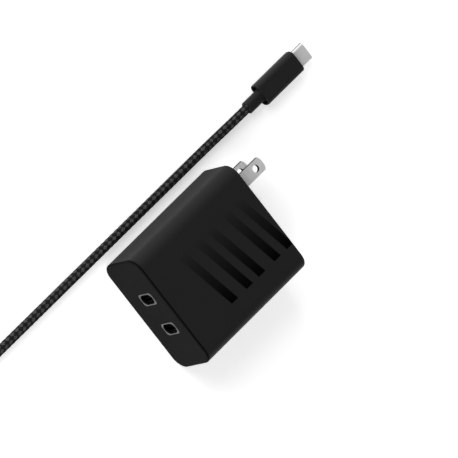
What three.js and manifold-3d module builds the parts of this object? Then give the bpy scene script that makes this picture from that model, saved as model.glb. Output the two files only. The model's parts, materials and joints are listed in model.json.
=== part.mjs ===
// Folding-plug wall charger with two USB-C ports, lying on its back, and its unplugged USB-C lead.
// Millimetres, +Z up. The origin is the centre of the rest face: X runs across the body,
// +Y points from the port end to the plug blades, and +Z is the body's thickness.
import * as THREE from 'three';
import { mergeVertices } from 'three/addons/utils/BufferGeometryUtils.js';
import Module from 'manifold-3d';

const wasm = await Module();
wasm.setup();

// ---------- driving dimensions ----------
const GAP = 0.3; // clearance kept between neighbouring pieces

const BODY = { width: 54.3, length: 63.1, thick: 27.1, corner: 5.9, endRound: 1.0 };
const WALL = 2.0; // moulded wall of the housing
const END_WALL = 2.2; // wall round the blades
const SEAM = { behindFace: 0.8, skirtEnd: 4.2, skirtWall: 1.0, plateEnd: 2.3 };

const PORT = {
  spacing: 15.5, // centre to centre of the two ports, across X
  height: 15.3, // centre above the rest face
  rimLong: 10.0, rimShort: 5.9, rimCorner: 1.5, rimWall: 0.5, rimDeep: 0.8,
  shellLong: 8.94, shellShort: 3.26, mouthLong: 8.34, mouthShort: 2.56, // receptacle
  shellDeep: 7.9, shellBackWall: 0.4,
  tongueLong: 6.69, tongueThick: 0.7, tongueSetBack: 0.75, rootLong: 7.4, rootThick: 1.8,
};

const BLADE = {
  width: 6.35, thick: 1.5, spacing: 12.7, // two-pin 1-15 pattern
  standOut: 15.0, holeFromFace: 10.6, holeRadius: 1.6, tail: 2.4,
  tipDrop: 0.8, tipBend: 2.0, tipFlat: 0.7, // the end bows out from its corners to a short flat
  centreX: -16.5,
};
const HINGE = { y: BODY.length / 2 - 4.55, pin: 0.75, barrel: 2.0, neck: 1.6 };
const NOTCH = { radius: 6.5, fromSlotEnd: 5, beyondFace: 5.2 }; // thumb scoop between the slots
const TRAY = { x: [-21.8, 5.4], y: [20.4, 29.05], z: [3.2, 23.9], wall: 1.1 };

const BOARD = { under: 4.4, thick: 1.2, halfWidth: 23.9, y: [-26.8, 18.5, 28.5], wingX: 6.2 };

const CORD = { diameter: 4.1, x: -32.8, centre: 2.1, sides: 10 };
const PLUG = {
  reliefStart: 65.2, reliefLong: 8.3, reliefWide: 5.6, reliefTall: 5.0, reliefCorner: 2.3,
  gripLong: 22.9, gripWide: 10.3, gripTall: 6.1, gripCorner: 2.3, centre: 3.05,
  tipLong: 8.25, tipShort: 2.4, tipWall: 0.3, tipOut: 6.7,
  holderLong: 7.0, holderShort: 1.1,
};
const COIL = { inner: 20.0, pitch: 4.2, turnsAcross: 3, y: -174, lift: 0.35, tieWide: 8, tieThick: 0.35 };

const END = { ports: -BODY.length / 2, blades: BODY.length / 2 };
const MID_Z = BODY.thick / 2;
const BOARD_TOP = BOARD.under + BOARD.thick;

// ---------- finishes ----------
function finish(color, roughness, metalness = 0) {
  return () => new THREE.MeshStandardMaterial({ color, roughness, metalness });
}
const FINISH = {
  shellBlack: finish(0x242426, 0.55),
  rimGrey: finish(0x8e9092, 0.35, 0.8),
  steel: finish(0xb4b6b8, 0.3, 1),
  nickel: finish(0xc3c3c1, 0.28, 1),
  copper: finish(0xb4662e, 0.4, 1),
  ferrite: finish(0x2b2d30, 0.7),
  circuitGreen: finish(0x1d4f35, 0.5),
  innerBlack: finish(0x17181a, 0.6),
  natural: finish(0xd8d2c0, 0.55),
  aluminium: finish(0xb9bcc0, 0.4, 1),
  capYellow: finish(0xc9a227, 0.5),
  discBlue: finish(0x2d63a8, 0.5),
  padGrey: finish(0x8d93a0, 0.9),
  paper: finish(0xe4dcc2, 0.8),
  braid: finish(0x1d1d1f, 0.85),
};

const charger = new THREE.Group();
const blades = new THREE.Group();
const lead = new THREE.Group();

function put(group, name, geometry, finishOf, x = 0, y = 0, z = 0) {
  const mesh = new THREE.Mesh(geometry, finishOf());
  mesh.name = name;
  mesh.position.set(x, y, z);
  group.add(mesh);
  return mesh;
}

// ---------- outlines ----------
function roundedRect(width, height, radius) {
  const [a, b] = [width / 2, height / 2];
  const shape = new THREE.Shape();
  shape.moveTo(-a + radius, -b);
  shape.lineTo(a - radius, -b);
  shape.absarc(a - radius, -b + radius, radius, -Math.PI / 2, 0);
  shape.lineTo(a, b - radius);
  shape.absarc(a - radius, b - radius, radius, 0, Math.PI / 2);
  shape.lineTo(-a + radius, b);
  shape.absarc(-a + radius, b - radius, radius, Math.PI / 2, Math.PI);
  shape.lineTo(-a, -b + radius);
  shape.absarc(-a + radius, -b + radius, radius, Math.PI, 1.5 * Math.PI);
  return shape;
}

// A slot with round ends; long along the outline's second axis.
function upright(long, short) {
  const [reach, r] = [(long - short) / 2, short / 2];
  const shape = new THREE.Shape();
  shape.moveTo(r, -reach);
  shape.lineTo(r, reach);
  shape.absarc(0, reach, r, 0, Math.PI);
  shape.lineTo(-r, -reach);
  shape.absarc(0, -reach, r, Math.PI, 2 * Math.PI);
  return shape;
}

function lying(long, short) {
  const turned = upright(long, short).getPoints(6).map((p) => new THREE.Vector2(p.y, -p.x));
  return new THREE.Shape(turned);
}

function polygon(points) {
  return new THREE.Shape(points.map(([x, y]) => new THREE.Vector2(x, y)));
}

// ---------- solids ----------
// An outline in X and Z, carried along Y from y0 to y1; round > 0 rolls over both end edges.
function alongY(shape, y0, y1, { round = 0, curve = 6 } = {}) {
  const geometry = new THREE.ExtrudeGeometry(shape, {
    depth: y1 - y0 - 2 * round, curveSegments: curve,
    bevelEnabled: round > 0, bevelThickness: round, bevelSize: round, bevelOffset: -round,
    bevelSegments: 3,
  });
  return geometry.rotateX(Math.PI / 2).translate(0, y1 - round, 0);
}

// An outline in X and Y, raised from z0 to z1.
function upZ(shape, z0, z1, curve = 6) {
  const geometry = new THREE.ExtrudeGeometry(shape, {
    depth: z1 - z0, curveSegments: curve, bevelEnabled: false,
  });
  return geometry.translate(0, 0, z0);
}

function box([x0, x1], [y0, y1], [z0, z1]) {
  const geometry = new THREE.BoxGeometry(x1 - x0, y1 - y0, z1 - z0);
  return geometry.translate((x0 + x1) / 2, (y0 + y1) / 2, (z0 + z1) / 2);
}

function pillar(radius, z0, z1, sides = 20) {
  const geometry = new THREE.CylinderGeometry(radius, radius, z1 - z0, sides);
  return geometry.rotateX(Math.PI / 2).translate(0, 0, (z0 + z1) / 2);
}

function ring(inner, outer, z0, z1, sides = 32) {
  const corners = [[inner, z0], [outer, z0], [outer, z1], [inner, z1], [inner, z0]];
  const profile = corners.map(([r, z]) => new THREE.Vector2(r, z));
  return new THREE.LatheGeometry(profile, sides).rotateX(Math.PI / 2);
}

// ---------- cutting and joining ----------
function solid(geometry) {
  const bare = geometry.clone();
  bare.deleteAttribute('normal');
  bare.deleteAttribute('uv');
  const merged = mergeVertices(bare, 1e-4);
  const vertProperties = Float32Array.from(merged.attributes.position.array);
  const triVerts = Uint32Array.from(merged.index.array);
  return new wasm.Manifold(new wasm.Mesh({ numProp: 3, vertProperties, triVerts }));
}

function surface(manifold) {
  const mesh = manifold.getMesh();
  const geometry = new THREE.BufferGeometry();
  geometry.setAttribute('position', new THREE.BufferAttribute(mesh.vertProperties, 3));
  geometry.setIndex(new THREE.BufferAttribute(mesh.triVerts, 1));
  const faceted = geometry.toNonIndexed();
  faceted.computeVertexNormals();
  return faceted;
}

function cut(whole, ...tools) {
  return surface(tools.reduce((left, tool) => left.subtract(solid(tool)), solid(whole)));
}

function join(first, ...others) {
  return surface(others.reduce((sum, other) => sum.add(solid(other)), solid(first)));
}

function keep(whole, region) {
  return surface(solid(whole).intersect(solid(region)));
}

const FAR = 200; // past every face, for cutting boxes

// ---------- housing and port end cap ----------
const outerSection = roundedRect(BODY.width, BODY.thick, BODY.corner);
const block = alongY(outerSection, END.ports, END.blades, { round: BODY.endRound, curve: 7 });
block.translate(0, 0, MID_Z);

function insideSection(inset) {
  return roundedRect(BODY.width - 2 * inset, BODY.thick - 2 * inset, BODY.corner - inset);
}

function section(inset, y0, y1) {
  return alongY(insideSection(inset), y0, y1, { curve: 5 }).translate(0, 0, MID_Z);
}

const bladeHeights = [MID_Z - BLADE.spacing / 2, MID_Z + BLADE.spacing / 2];
const bladeReach = END.blades + BLADE.standOut - HINGE.y;
const slotX = [BLADE.centreX - BLADE.width / 2 - 0.4, BLADE.centreX + bladeReach + 0.5];
const slotHalf = BLADE.thick / 2 + GAP;

function bladeSlot(z) {
  return box(slotX, [END.blades - END_WALL - 1, FAR], [z - slotHalf, z + slotHalf]);
}

const seamY = END.ports + SEAM.behindFace;
const fingerNotch = pillar(NOTCH.radius, bladeHeights[0] + slotHalf, bladeHeights[1] - slotHalf, 24);
fingerNotch.translate(slotX[1] - NOTCH.fromSlotEnd, END.blades + NOTCH.beyondFace, 0);

const sleeve = keep(block, box([-FAR, FAR], [seamY + GAP, FAR], [-FAR, FAR]));
const housing = cut(
  sleeve, section(WALL, -FAR, END.blades - END_WALL), ...bladeHeights.map(bladeSlot), fingerNotch,
);
put(charger, 'housing', housing, FINISH.shellBlack);

const ports = [
  { side: 'left', x: -PORT.spacing / 2 },
  { side: 'right', x: PORT.spacing / 2 },
];

function portSlot(long, short, y0, y1, x) {
  return alongY(upright(long, short), y0, y1, { curve: 6 }).translate(x, 0, PORT.height);
}

const capFlange = keep(block, box([-FAR, FAR], [-FAR, seamY], [-FAR, FAR]));
const capPlate = section(WALL + GAP, seamY - 0.1, END.ports + SEAM.plateEnd);
const capSkirt = section(WALL + GAP, seamY - 0.1, END.ports + SEAM.skirtEnd);
const skirtHollow = section(WALL + GAP + SEAM.skirtWall, END.ports + SEAM.plateEnd, FAR);
const rimPocket = PORT.rimDeep + GAP;
function rimRecess(x) {
  const { rimShort, rimLong, rimCorner } = PORT;
  const outline = roundedRect(rimShort + 2 * GAP, rimLong + 2 * GAP, rimCorner + GAP);
  const recess = alongY(outline, END.ports - 1, END.ports + rimPocket, { curve: 4 });
  return recess.translate(x, 0, PORT.height);
}
const cap = cut(
  join(capFlange, capPlate, cut(capSkirt, skirtHollow)),
  ...ports.map(({ x }) => rimRecess(x)),
  ...ports.map(({ x }) => portSlot(
    PORT.shellLong + 2 * GAP, PORT.shellShort + 2 * GAP, END.ports, END.ports + 5, x)),
);
put(charger, 'port_end_cap', cap, FINISH.shellBlack);

// ---------- the two USB-C ports, each on its own upright board ----------
const shellFront = END.ports + rimPocket;
const shellBack = shellFront + PORT.shellDeep;
const portBoardX = -PORT.shellShort / 2 - GAP; // its face towards the receptacle

for (const { side, x } of ports) {
  const rimInside = upright(PORT.rimLong - 2 * PORT.rimWall, PORT.rimShort - 2 * PORT.rimWall);
  const rimOutline = roundedRect(PORT.rimShort, PORT.rimLong, PORT.rimCorner);
  rimOutline.holes.push(new THREE.Path(rimInside.getPoints(6)));
  const rim = alongY(rimOutline, END.ports, END.ports + PORT.rimDeep);
  put(charger, `port_rim_${side}`, rim, FINISH.rimGrey, x, 0, PORT.height);

  const shell = cut(
    alongY(upright(PORT.shellLong, PORT.shellShort), shellFront, shellBack),
    alongY(upright(PORT.mouthLong, PORT.mouthShort), shellFront - 1,
      shellBack - PORT.shellBackWall),
  );
  put(charger, `receptacle_shell_${side}`, shell, FINISH.steel, x, 0, PORT.height);

  const halfTongue = PORT.tongueThick / 2;
  const tongue = join(
    box([-halfTongue, halfTongue], [shellFront + PORT.tongueSetBack, shellBack - 1],
      [-PORT.tongueLong / 2, PORT.tongueLong / 2]),
    box([-PORT.rootThick / 2, PORT.rootThick / 2],
      [shellBack - 2, shellBack - PORT.shellBackWall - GAP], [-PORT.rootLong / 2, PORT.rootLong / 2]),
  );
  put(charger, `receptacle_tongue_${side}`, tongue, FINISH.innerBlack, x, 0, PORT.height);

  const boardHeights = [BOARD_TOP + GAP, 22];
  const portBoard = box([portBoardX - 1, portBoardX], [BOARD.y[0], -14], boardHeights);
  put(charger, `port_board_${side}`, portBoard, FINISH.circuitGreen, x, 0, 0);
  const chip = box([portBoardX + GAP, portBoardX + GAP + 0.9], [-20.5, -15.5], [11, 16]);
  put(charger, `port_controller_${side}`, chip, FINISH.innerBlack, x, 0, 0);
}

// ---------- main board, its insulation and the parts under it ----------
const [boardFront, boardStep, boardBack] = BOARD.y;
const boardOutline = polygon([
  [-BOARD.halfWidth, boardFront], [BOARD.halfWidth, boardFront],
  [BOARD.halfWidth, boardBack], [BOARD.wingX, boardBack],
  [BOARD.wingX, boardStep], [-BOARD.halfWidth, boardStep],
]);
put(charger, 'main_board', upZ(boardOutline, BOARD.under, BOARD_TOP), FINISH.circuitGreen);
put(charger, 'insulation_sheet', box([-21.8, 21.8], [-26, 18], [2.5, 2.9]), FINISH.paper);
for (const [name, x] of [['switch_chip_primary', -9], ['switch_chip_secondary', 8]]) {
  const chip = box([-4, 4], [-3, 3], [BOARD.under - GAP - 0.8, BOARD.under - GAP]);
  put(charger, name, chip, FINISH.innerBlack, x, -3, 0);
}

// ---------- parts that stand on the board; z = 0 is just above its top face ----------
const onBoard = new THREE.Group();
onBoard.position.z = BOARD_TOP + GAP;
charger.add(onBoard);

const TRANSFORMER = { x: 10, y: 0.75, wide: 22, deep: 12.4, half: 8, plate: 3, leg: 3, post: 7.4 };
function coreHalf() {
  const { wide, half, plate, leg, post } = TRANSFORMER;
  const [a, b] = [wide / 2, post / 2];
  return polygon([
    [-a, 0], [a, 0], [a, half], [a - leg, half], [a - leg, plate], [b, plate], [b, half],
    [-b, half], [-b, plate], [leg - a, plate], [leg - a, half], [-a, half],
  ]);
}

function woundTube([innerX, innerY], [outerX, outerY], z0, z1) {
  const outline = roundedRect(outerX, outerY, 2.2);
  outline.holes.push(new THREE.Path(roundedRect(innerX, innerY, 0.6).getPoints(3)));
  return upZ(outline, z0, z1, 4);
}

const halfDeep = TRANSFORMER.deep / 2;
const lowerCore = alongY(coreHalf(), -halfDeep, halfDeep);
const upperCore = alongY(coreHalf(), -halfDeep, halfDeep).rotateY(Math.PI);
const coreTop = 2 * TRANSFORMER.half + GAP;
const atTransformer = [TRANSFORMER.x, TRANSFORMER.y];
put(onBoard, 'transformer_core_lower', lowerCore, FINISH.ferrite, ...atTransformer, 0);
put(onBoard, 'transformer_core_upper', upperCore, FINISH.ferrite, ...atTransformer, coreTop);
const bobbinBottom = TRANSFORMER.plate + GAP;
const bobbinTop = coreTop - TRANSFORMER.plate - GAP;
const bobbin = join(
  woundTube([8.0, 13.0], [9.4, 14.4], bobbinBottom, bobbinTop),
  woundTube([8.0, 13.0], [15.2, 20.2], bobbinBottom, bobbinBottom + 0.6),
  woundTube([8.0, 13.0], [15.2, 20.2], bobbinTop - 0.6, bobbinTop),
);
put(onBoard, 'transformer_bobbin', bobbin, FINISH.natural, ...atTransformer, 0);
const winding = woundTube([10.0, 15.0], [14.9, 19.9], bobbinBottom + 0.9, bobbinTop - 0.9);
put(onBoard, 'transformer_winding', winding, FINISH.capYellow, ...atTransformer, 0);

// A sleeve of wire turns round part of a ring core, left open between the cutting boxes.
function ringWinding([inner, outer, height], wire, ...openings) {
  const sleeve = ring(inner - GAP - wire, outer + GAP + wire, -GAP - wire, height + GAP + wire);
  return cut(sleeve, ring(inner - GAP, outer + GAP, -GAP, height + GAP), ...openings);
}

const boostCore = [2.7, 5.4, 7.5];
const boostAt = [-15.8, -6.7, 1.2];
put(onBoard, 'boost_choke_core', ring(boostCore[0], boostCore[1], 0, boostCore[2]),
  FINISH.ferrite, ...boostAt);
const boostOpening = box([0, 20], [-2, 2], [-10, 20]);
put(onBoard, 'boost_choke_winding', ringWinding(boostCore, 0.8, boostOpening),
  FINISH.copper, ...boostAt);

const filterCore = [3.1, 5.4, 5.0];
const filterAt = [15, 22.2, 1.2];
put(onBoard, 'filter_choke_core', ring(filterCore[0], filterCore[1], 0, filterCore[2]),
  FINISH.ferrite, ...filterAt);
const filterSides = [
  ['filter_choke_winding_line', box([-1.2, 20], [-20, 20], [-10, 20])],
  ['filter_choke_winding_neutral', box([-20, 1.2], [-20, 20], [-10, 20])],
];
for (const [name, opening] of filterSides) {
  put(onBoard, name, ringWinding(filterCore, 0.7, opening), FINISH.copper, ...filterAt);
}

const cans = [
  ['bulk_capacitor_1', -18, 5.6, 5, 16.5], ['bulk_capacitor_2', -6.6, 3.6, 5, 16.5],
  ['output_capacitor_1', -1.8, -14.5, 4, 11], ['output_capacitor_2', -1.8, -23, 3.6, 11],
  ['output_capacitor_3', 16, -15, 4, 11],
];
for (const [name, x, y, radius, height] of cans) {
  const isBulk = name.startsWith('bulk');
  const can = join(
    pillar(radius, 0, 1.6), pillar(radius - 0.35, 1.5, 2.3), pillar(radius, 2.2, height),
  );
  put(onBoard, name, can, isBulk ? FINISH.innerBlack : FINISH.aluminium, x, y, 0);
}

put(onBoard, 'line_filter_capacitor', box([-7, 5], [12, 18], [0, 10]), FINISH.capYellow);
put(onBoard, 'bridge_rectifier', box([-23.4, -9.6], [10.9, 14.1], [0, 10]), FINISH.innerBlack);
const isolationDisc = new THREE.CylinderGeometry(3.6, 3.6, 2.4, 20);
put(onBoard, 'isolation_capacitor', isolationDisc, FINISH.discBlue, 18.5, -23.6, 4.2);
const surgeDisc = new THREE.CylinderGeometry(3.5, 3.5, 2.4, 20).rotateZ(Math.PI / 2);
put(onBoard, 'surge_disc', surgeDisc, FINISH.discBlue, 21.6, 14.6, 4);
const fuse = new THREE.CylinderGeometry(1.6, 1.6, 10, 16).rotateZ(Math.PI / 2);
put(onBoard, 'fuse', fuse, FINISH.natural, 13, 13.2, 2);

const spreaderZ = 23.7;
put(charger, 'heat_spreader', box([-21.8, 21.8], [-24, 18], [spreaderZ, spreaderZ + 0.8]),
  FINISH.aluminium);
put(charger, 'thermal_pad', box([-10, 10], [-5.5, 5.5], [22.5, 23.4]), FINISH.padGrey,
  TRANSFORMER.x, TRANSFORMER.y, 0);

// ---------- fixed half of the folding plug ----------
const [trayX0, trayX1] = TRAY.x;
const [trayY0] = TRAY.y;
const [trayZ0, trayZ1] = TRAY.z;
const contactHalf = 0.2;
const trayHollow = box([trayX0 + TRAY.wall, trayX1 - TRAY.wall], [trayY0 + TRAY.wall, FAR],
  [trayZ0 + TRAY.wall, trayZ1 - TRAY.wall]);
const pinHole = pillar(HINGE.pin + GAP, -FAR, FAR, 14).translate(BLADE.centreX, HINGE.y, 0);
const contactSlots = bladeHeights.map((z) => box(
  [BLADE.centreX - 2.1, BLADE.centreX + 2.1], [trayY0 - 1, trayY0 + 2],
  [z - contactHalf - GAP, z + contactHalf + GAP]));
const tray = cut(box(TRAY.x, TRAY.y, TRAY.z), trayHollow, pinHole, ...contactSlots);
put(charger, 'blade_tray', tray, FINISH.innerBlack);

const pin = pillar(HINGE.pin, trayZ0 - 0.5, trayZ1 + 0.5, 14);
put(charger, 'blade_pivot_pin', pin, FINISH.steel, BLADE.centreX, HINGE.y, 0);

// The leaf lies along the tray floor with its crown under the carrier's flats.
const leafTop = HINGE.y - 4.05;
const leafOutline = polygon([
  [-3.6, -1.2], [-2.2, -1.2], [-1.2, -0.35], [1.2, -0.35], [2.2, -1.2], [3.6, -1.2],
  [3.6, -0.85], [2.4, -0.85], [1.4, 0], [-1.4, 0], [-2.4, -0.85], [-3.6, -0.85],
]);
put(charger, 'detent_spring', upZ(leafOutline, MID_Z - 3, MID_Z + 3), FINISH.steel,
  BLADE.centreX, leafTop, 0);

const contactTop = HINGE.y - Math.hypot(BLADE.width / 2, BLADE.tail) - GAP;
const contactOutline = polygon([
  [-1.4, 17.7], [1.4, 17.7], [1.4, 19.4], [1.8, 19.4], [1.8, contactTop - 0.6], [1.2, contactTop],
  [-1.2, contactTop], [-1.8, contactTop - 0.6], [-1.8, 19.4], [-1.4, 19.4],
]);
bladeHeights.forEach((z, i) => {
  const pole = ['line', 'neutral'][i];
  const contact = upZ(contactOutline, -contactHalf, contactHalf);
  put(charger, `mains_contact_${pole}`, contact, FINISH.copper, BLADE.centreX, 0, z);

  const landing = BLADE.centreX + (i === 0 ? -2 : 2);
  const route = new THREE.CatmullRomCurve3([
    new THREE.Vector3(BLADE.centreX, 17.4, z), new THREE.Vector3(BLADE.centreX, 16.9, z),
    new THREE.Vector3((BLADE.centreX + landing) / 2, 16.2, z - 0.3),
    new THREE.Vector3(landing, 15.7, z - 0.9), new THREE.Vector3(landing, 15.6, BOARD_TOP + GAP),
  ]);
  const wireSection = new THREE.Shape().absarc(0, 0, 0.55, 0, 2 * Math.PI);
  const wire = new THREE.ExtrudeGeometry(wireSection, {
    steps: 12, curveSegments: 4, extrudePath: route, bevelEnabled: false,
  });
  put(charger, `mains_wire_${pole}`, wire, FINISH.natural);
});

// ---------- moving half: two blades on one carrier, turning about Z ----------
const bladeTip = END.blades + BLADE.standOut;
function bladeOutline() {
  const w = BLADE.width / 2;
  const [root, corner] = [HINGE.y - BLADE.tail, bladeTip - BLADE.tipDrop];
  const shape = new THREE.Shape();
  shape.moveTo(-w, root);
  shape.lineTo(w, root);
  shape.lineTo(w, corner);
  shape.quadraticCurveTo(BLADE.tipBend, bladeTip, BLADE.tipFlat, bladeTip);
  shape.lineTo(-BLADE.tipFlat, bladeTip);
  shape.quadraticCurveTo(-BLADE.tipBend, bladeTip, -w, corner);
  const socketHole = new THREE.Path();
  socketHole.absarc(0, END.blades + BLADE.holeFromFace, BLADE.holeRadius, 0, 2 * Math.PI, true);
  const pivotHole = new THREE.Path();
  pivotHole.absarc(0, HINGE.y, HINGE.neck + GAP, 0, 2 * Math.PI, true);
  shape.holes.push(socketHole, pivotHole);
  return shape;
}
['line', 'neutral'].forEach((pole, i) => {
  const plate = upZ(bladeOutline(), -BLADE.thick / 2, BLADE.thick / 2, 12);
  put(blades, `blade_${pole}`, plate, FINISH.nickel, BLADE.centreX, 0, bladeHeights[i]);
});

const between = [
  bladeHeights[0] + BLADE.thick / 2 + GAP, bladeHeights[1] - BLADE.thick / 2 - GAP,
];
const outside = [bladeHeights[0] - BLADE.thick / 2 - GAP, bladeHeights[1] + BLADE.thick / 2 + GAP];
const collar = 1.2;
// Two flats at right angles face the detent leaf, one with the blades out and one folded.
const camOutline = polygon([
  [-1.7, -2.9], [2.0, -2.9], [2.9, -2.0], [2.9, 1.7], [1.2, 1.95], [-1.1, 1.7], [-1.7, 1.1],
]);
const carrier = cut(
  join(
    upZ(camOutline, between[0], between[1]),
    pillar(HINGE.neck, outside[0] - 0.4, outside[1] + 0.4, 18),
    pillar(HINGE.barrel, outside[0] - collar, outside[0], 18),
    pillar(HINGE.barrel, outside[1], outside[1] + collar, 18),
  ),
  pillar(HINGE.pin + GAP, -FAR, FAR, 14),
);
put(blades, 'blade_carrier', carrier, FINISH.innerBlack, BLADE.centreX, HINGE.y, 0);

// ---------- the unplugged lead lying beside the charger ----------
const coilOuter = COIL.inner + (COIL.turnsAcross - 1) * COIL.pitch; // centre of the outer turn
const coilX = CORD.x + coilOuter;
const tailX = coilX + coilOuter; // where the second end leaves the coil
const cordRadius = CORD.diameter / 2;
const tailReliefStart = COIL.y + 28.3;

// One end of the lead: strain relief, moulded grip and metal tip, pointing along +Y.
function leadPlug(end, x, reliefStart) {
  const { reliefLong, gripLong, gripCorner, tipWall } = PLUG;
  const gripStart = reliefStart + reliefLong + GAP;
  const tipStart = gripStart + gripLong + GAP;
  const tipEnd = tipStart + PLUG.tipOut;
  const relief = alongY(roundedRect(PLUG.reliefWide, PLUG.reliefTall, PLUG.reliefCorner),
    reliefStart, reliefStart + reliefLong, { round: 0.4, curve: 4 });
  put(lead, `lead_strain_relief_${end}`, relief, FINISH.innerBlack, x, 0, PLUG.centre);
  const grip = alongY(roundedRect(PLUG.gripWide, PLUG.gripTall, gripCorner),
    gripStart, gripStart + gripLong, { round: 0.6, curve: 5 });
  put(lead, `lead_grip_${end}`, grip, FINISH.shellBlack, x, 0, PLUG.centre);
  const inside = lying(PLUG.tipLong - 2 * tipWall, PLUG.tipShort - 2 * tipWall);
  const tip = cut(
    alongY(lying(PLUG.tipLong, PLUG.tipShort), tipStart, tipEnd),
    alongY(inside, tipStart + 0.4, tipEnd + 1),
  );
  put(lead, `lead_tip_${end}`, tip, FINISH.steel, x, 0, PLUG.centre);
  const holder = alongY(lying(PLUG.holderLong, PLUG.holderShort), tipStart + 0.7,
    tipStart + 3.4);
  put(lead, `lead_contacts_${end}`, holder, FINISH.innerBlack, x, 0, PLUG.centre);
}
leadPlug('a', CORD.x, PLUG.reliefStart);
leadPlug('b', tailX, tailReliefStart);

function cordTube(points, steps) {
  const route = new THREE.CatmullRomCurve3(points.map((p) => new THREE.Vector3(...p)));
  const round = Array.from({ length: CORD.sides }, (_, i) => {
    const turn = (2 * Math.PI * i) / CORD.sides;
    return [cordRadius * Math.cos(turn), cordRadius * Math.sin(turn)];
  });
  return new THREE.ExtrudeGeometry(polygon(round), {
    steps, extrudePath: route, bevelEnabled: false,
  });
}

const lowerTurn = COIL.lift + GAP + cordRadius; // height of the coil's lower layer
const upperTurn = lowerTurn + CORD.diameter;
// Clear of the ring where the straight run meets it side-on.
const ringOuter = coilOuter + cordRadius;
const meets = Math.sqrt(ringOuter ** 2 - (coilOuter - cordRadius) ** 2) + GAP;
const run = [
  [CORD.x, 64.9, PLUG.centre], [CORD.x, 60, PLUG.centre], [CORD.x, 52, 2.75],
  [CORD.x, 44, 2.3], [CORD.x, 36, CORD.centre], [CORD.x, 18, CORD.centre],
  [CORD.x, 0, CORD.centre], [CORD.x, -18, CORD.centre], [CORD.x, -36, CORD.centre],
  [CORD.x, -54, CORD.centre], [CORD.x, -72, CORD.centre], [CORD.x, -90, CORD.centre],
  [CORD.x, -108, CORD.centre], [CORD.x, -126, CORD.centre], [CORD.x, -144, 2.2],
  [CORD.x, COIL.y + meets, lowerTurn],
];
put(lead, 'lead_cord', cordTube(run, 28), FINISH.braid);

const tail = [
  [tailX, COIL.y + meets, 5.6], [tailX, COIL.y + 19.5, 4.5], [tailX, COIL.y + 24, 3.4],
  [tailX, tailReliefStart - GAP, PLUG.centre],
];
put(lead, 'lead_cord_tail', cordTube(tail, 5), FINISH.braid);

const coilFloor = lowerTurn - cordRadius;
const coilTop = upperTurn + cordRadius;
const coilInner = COIL.inner - cordRadius;
put(lead, 'lead_coil', ring(coilInner, ringOuter, coilFloor, coilTop, 48), FINISH.braid,
  coilX, COIL.y, 0);

const tie = cut(
  box([-COIL.tieWide / 2, COIL.tieWide / 2], [-ringOuter - 0.65, -coilInner + 1.3],
    [0, coilTop + GAP + COIL.tieThick]),
  box([-FAR, FAR], [-ringOuter - GAP, -coilInner + 0.9], [COIL.lift, coilTop + GAP]),
);
put(lead, 'lead_tie', tie, FINISH.innerBlack, coilX, COIL.y, 0);

const wallCharger = new THREE.Group();
wallCharger.add(charger, blades, lead);

export default wallCharger;
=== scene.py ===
import json
import math

import bmesh
import bpy
from mathutils import Matrix, Vector


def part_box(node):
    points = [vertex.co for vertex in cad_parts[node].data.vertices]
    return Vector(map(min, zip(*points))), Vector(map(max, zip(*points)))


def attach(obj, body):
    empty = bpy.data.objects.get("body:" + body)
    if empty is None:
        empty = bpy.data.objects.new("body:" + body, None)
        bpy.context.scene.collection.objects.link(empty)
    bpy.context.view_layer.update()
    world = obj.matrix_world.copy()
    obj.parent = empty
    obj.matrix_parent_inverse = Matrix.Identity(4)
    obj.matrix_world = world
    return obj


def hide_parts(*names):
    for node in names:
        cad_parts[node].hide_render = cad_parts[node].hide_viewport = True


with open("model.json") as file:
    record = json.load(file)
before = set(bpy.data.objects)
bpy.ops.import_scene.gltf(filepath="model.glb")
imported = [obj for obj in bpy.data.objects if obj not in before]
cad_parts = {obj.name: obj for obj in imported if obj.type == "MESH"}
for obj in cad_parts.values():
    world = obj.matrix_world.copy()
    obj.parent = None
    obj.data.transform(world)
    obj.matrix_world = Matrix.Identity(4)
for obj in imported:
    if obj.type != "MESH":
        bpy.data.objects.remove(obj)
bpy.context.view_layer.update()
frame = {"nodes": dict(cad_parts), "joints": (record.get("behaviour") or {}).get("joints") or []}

scene = bpy.context.scene
MM = 0.001

# ---------------------------------------------------------------- camera
# The charger is looked down on from its port end, turned so that its length runs up to the right.
# A very long lens keeps its edges parallel. The aim is a little past the middle of the body.
port_end, blade_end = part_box("port_end_cap")[0].y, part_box("housing")[1].y
body_low, body_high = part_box("housing")
body_middle = Vector((0.0, (port_end + blade_end) / 2, (body_low.z + body_high.z) / 2))

view_right = Vector((0.5957, 0.6367, 0.4901)).normalized()
view_back = view_right.cross(Vector((-0.7681, 0.6301, 0.1145))).normalized()
view_up = view_back.cross(view_right)
view_width = 188.0 * MM
lens = 800.0
sensor = 36.0
aim = body_middle + view_right * 9.45 * MM + view_up * 15.22 * MM

camera_data = bpy.data.cameras.new("camera")
camera_data.lens = lens
camera_data.sensor_width = sensor
camera_data.clip_end = 50.0
camera = bpy.data.objects.new("camera", camera_data)
view_turn = Matrix((view_right, view_up, view_back)).transposed().to_4x4()
camera.matrix_world = Matrix.Translation(aim + view_back * (view_width * lens / sensor)) @ view_turn
scene.collection.objects.link(camera)
scene.camera = camera
scene.view_settings.view_transform = "Standard"


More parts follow.
